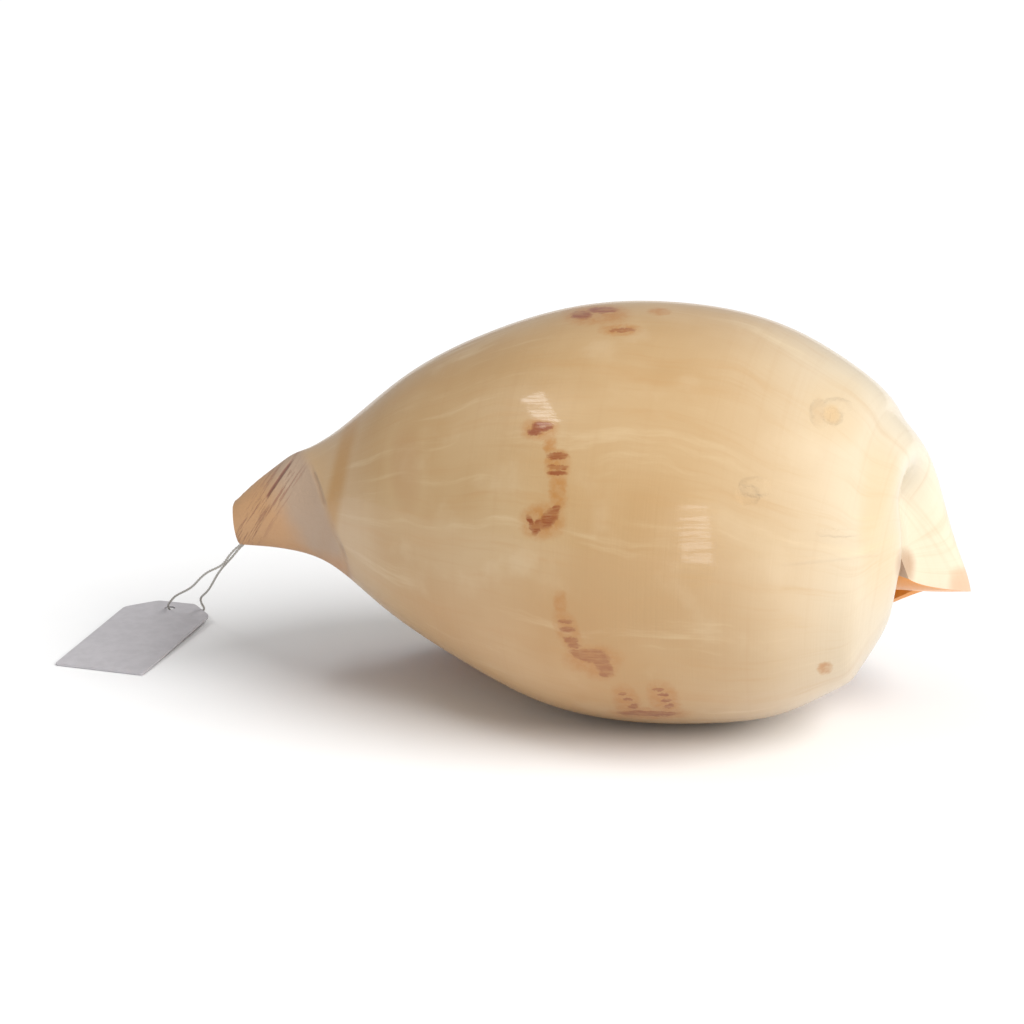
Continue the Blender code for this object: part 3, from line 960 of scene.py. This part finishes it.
# Painted light: the thin inner wall near the lip glows orange, standing in for the light that shines
# through it.
painted_backlight_share = inner * growth.rise(0.80, 0.95) * along_lip.rise(0.32, 0.20)
painted_backlight = painted_backlight_share.blend((0, 0, 0, 1), linear(226, 128, 30))
wire(shader, Emission_Color=painted_backlight)
shader.inputs["Emission Strength"].default_value = 0.20
shader.inputs["IOR"].default_value = 1.5
shader.inputs["Coat Roughness"].default_value = 0.08
mesh.materials.clear()
mesh.materials.append(enamel)
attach(shell, "root")
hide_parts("shell")
print("enamel nodes:", len(enamel.node_tree.nodes))

# %% [markdown]
# ## The card tag
# A stock tag is punched from thin card: two corners cut off at the hole end, every
# corner a little rounded by the die, and the sheet never quite flat. We lay it out in
# rows across its width, bow it slightly, close it into a sheet and punch the hole. Its
# place and lean are the CAD model's.

# %%
TAG_WIDTH = 35.0
TAG_LENGTH = 73.0
TAG_CHAMFER = 10.0
TAG_THICK = 0.8
TAG_HOLE = 4.2
TAG_HOLE_FROM_END = 7.0
TAG_HOLE_AT = (-177.4, 49.0)
TAG_TURN = math.radians(84.5 - 90.0)
TAG_TILT = math.radians(1.8)
DIE_ROUND = 1.1
CHAMFER_ROUND = 1.5
BOW = 0.5

low_end = TAG_HOLE_FROM_END - TAG_LENGTH
steps = 0.5 - 0.5 * np.cos(np.linspace(0, math.pi, 90))
rows = low_end + TAG_LENGTH * steps
cut_corner = TAG_WIDTH / 2 + TAG_HOLE_FROM_END - TAG_CHAMFER - rows
overlap = np.clip(CHAMFER_ROUND - np.abs(cut_corner - TAG_WIDTH / 2), 0, None)
half = np.minimum(TAG_WIDTH / 2, cut_corner) - overlap**2 / (4 * CHAMFER_ROUND)
to_end = np.minimum(rows - low_end, TAG_HOLE_FROM_END - rows)
half = half - DIE_ROUND * (1 - np.sqrt(1 - (1 - np.clip(to_end / DIE_ROUND, 0, 1))**2))
sides = np.linspace(-1, 1, 27)
card_x = half[:, None] * sides[None, :]
card_y = np.repeat(rows[:, None], len(sides), axis=1)
bow = BOW * (1 - (card_x * 2 / TAG_WIDTH)**2) * np.sin(steps * math.pi)[:, None]
bow = bow + BOW * smoothstep(low_end, TAG_HOLE_FROM_END, card_y) * card_x / TAG_WIDTH * 0.6
top = np.stack([card_x, card_y, bow + TAG_THICK / 2], -1)
bottom = top - np.array([0, 0, TAG_THICK])
across = top.shape[1]
points = np.concatenate([top.reshape(-1, 3), bottom.reshape(-1, 3)])
i, j = np.meshgrid(np.arange(len(rows) - 1), np.arange(across - 1), indexing="ij")
a = (i * across + j).ravel()
quads = np.stack([a, a + 1, a + across + 1, a + across], -1)
rim = [*range(across), *range(2 * across - 1, len(rows) * across, across)]
rim += [*range(len(rows) * across - 2, (len(rows) - 1) * across - 1, -1)]
rim += [*range((len(rows) - 2) * across, 0, -across)]
under = len(rows) * across
faces = quads.tolist() + (quads[:, ::-1] + under).tolist()
for first, second in zip(rim, rim[1:] + rim[:1]):
    faces.append([second, first, first + under, second + under])
tag = closed_mesh("paper_tag", points, faces)

bpy.ops.mesh.primitive_cylinder_add(vertices=48, radius=TAG_HOLE / 2 * MM, depth=0.02)
punch = bpy.context.object
cut = tag.modifiers.new("hole", "BOOLEAN")
cut.operation = "DIFFERENCE"
cut.object = punch
evaluated = tag.evaluated_get(bpy.context.evaluated_depsgraph_get())
tag_mesh = bpy.data.meshes.new_from_object(evaluated)
tag.modifiers.clear()
tag.data = tag_mesh
bpy.data.objects.remove(punch, do_unlink=True)

reach = TAG_LENGTH - TAG_HOLE_FROM_END
lift = reach * math.sin(TAG_TILT) + TAG_THICK / 2 * math.cos(TAG_TILT)
lean = Euler((TAG_TILT, 0.0, TAG_TURN)).to_matrix().to_4x4()
tag_mesh.transform(Matrix.Translation(Vector((*TAG_HOLE_AT, lift)) * MM) @ lean)
for face in tag_mesh.polygons:
    face.use_smooth = True
tag_mesh.set_sharp_from_angle(angle=math.radians(30))
print("tag points:", len(tag_mesh.vertices))

# %% [markdown]
# The card is cheap grey stock with a lilac tint. Short fibres show in it when it is
# looked at closely.

# %%
card, shader, start = new_material("tag_card")
place_on_card = start.node("ShaderNodeTexCoord", None, None, 3)
fibres = start.noise(place_on_card, 2600.0, 5.0, 0.7)
pulp = start.noise(place_on_card, 260.0, 3.0, 0.55)
card_colour = pulp.rise(0.3, 0.7).blend(linear(180, 177, 180), linear(187, 184, 187))
card_colour = (fibres.rise(0.55, 0.75) * 0.25).blend(card_colour, linear(164, 160, 165))
grain = start.node("ShaderNodeBump", None, {"Distance": 0.00006, "Height": fibres + pulp})
wire(shader, Base_Color=card_colour, Normal=grain)
shader.inputs["Roughness"].default_value = 0.82
tag_mesh.materials.clear()
tag_mesh.materials.append(card)
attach(tag, "root")
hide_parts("tag")

# %% [markdown]
# ## The cotton thread and its knot
# Cotton thread is plies twisted round each other, so its outline is never a plain
# cylinder. We sweep a two-lobed section along the route and turn it as it goes: one
# turn each two millimetres. The knot is a small trefoil, the simplest knot there is.

# %%
PLY_TURN = 2.2
PLY_DEPTH = 0.17
KNOT = 3.0
KNOT_AT = (-121.0, -8.2, 58.3)


def sweep(name, line, radii, sides):
    """Sweep a section round a line: radii gives its size at each ring and side."""
    ahead = np.gradient(line, axis=0)
    ahead = ahead / np.linalg.norm(ahead, axis=1)[:, None]
    side = np.cross(ahead[0], (0.0, 0.0, 1.0))
    across = []
    for direction in ahead:
        side = side - direction * side.dot(direction)
        side = side / np.linalg.norm(side)
        across.append(side)
    across = np.array(across)
    up = np.cross(ahead, across)
    angle = np.linspace(0, 2 * math.pi, sides, endpoint=False)
    ring = across[:, None] * np.cos(angle)[None, :, None]
    ring = ring + up[:, None] * np.sin(angle)[None, :, None]
    points = (line[:, None] + ring * radii[..., None]).reshape(-1, 3)
    points = np.concatenate([points, line[:1], line[-1:]])
    faces = quads_between(len(line), sides)
    first_end = len(line) * sides
    last = (len(line) - 1) * sides
    for i in range(sides):
        k = (i + 1) % sides
        faces.append((first_end, k, i))
        faces.append((first_end + 1, last + i, last + k))
    made = closed_mesh(name, points, faces)
    for face in made.data.polygons:
        face.use_smooth = True
    return made


angle = np.linspace(0, 2 * math.pi, 14, endpoint=False)[None, :]
fine_line = even_route(ROUTE, 1500)
twist = run_along(fine_line)[:, None] / PLY_TURN * 2 * math.pi
lobes = THREAD / 2 - PLY_DEPTH * (0.5 - 0.5 * np.cos(2 * angle - twist))
thread = sweep("cotton_thread", fine_line, lobes, 14)

turns = np.linspace(0, 2 * math.pi, 121)
trefoil = np.stack([
    np.sin(turns) + 2 * np.sin(2 * turns),
    np.cos(turns) - 2 * np.cos(2 * turns),
    -1.5 * np.sin(3 * turns)], -1)
ply = THREAD / 2 * 0.8
trefoil = trefoil / 3 * (KNOT / 2 - ply) + np.array(KNOT_AT)
knot = sweep("thread_knot_tied", trefoil, np.full((len(turns), 10), ply), 10)

cotton, shader, start = new_material("cotton_thread")
place_on_thread = start.node("ShaderNodeTexCoord", None, None, 3)
fuzz = start.noise(place_on_thread, 5200.0, 4.0, 0.7)
dust = start.noise(place_on_thread, 120.0, 2.0, 0.5)
cotton_colour = fuzz.rise(0.3, 0.7).blend(linear(150, 146, 140), linear(206, 203, 196))
cotton_colour = (dust.rise(0.45, 0.7) * 0.3).blend(cotton_colour, linear(168, 160, 148))
nap = start.node("ShaderNodeBump", None, {"Distance": 0.0001, "Height": fuzz})
wire(shader, Base_Color=cotton_colour, Normal=nap)
shader.inputs["Roughness"].default_value = 0.92

for piece, node in ((thread, "tag_thread"), (knot, "thread_knot")):
    piece.data.materials.append(cotton)
    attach(piece, "root")
    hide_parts(node)
print("thread points:", len(thread.data.vertices))

# %% [markdown]
# ## The floor
# The floor is plain white paper.

# %%
paper, shader, start = new_material("white_paper")
floor_place = start.node("ShaderNodeTexCoord", None, None, 3)
tooth = start.noise(floor_place, 40.0, 3.0)
paper_colour = tooth.blend(linear(243, 243, 243), linear(245, 245, 245))
wire(shader, Base_Color=paper_colour)
shader.inputs["Roughness"].default_value = 0.9
floor_mesh.materials.append(paper)
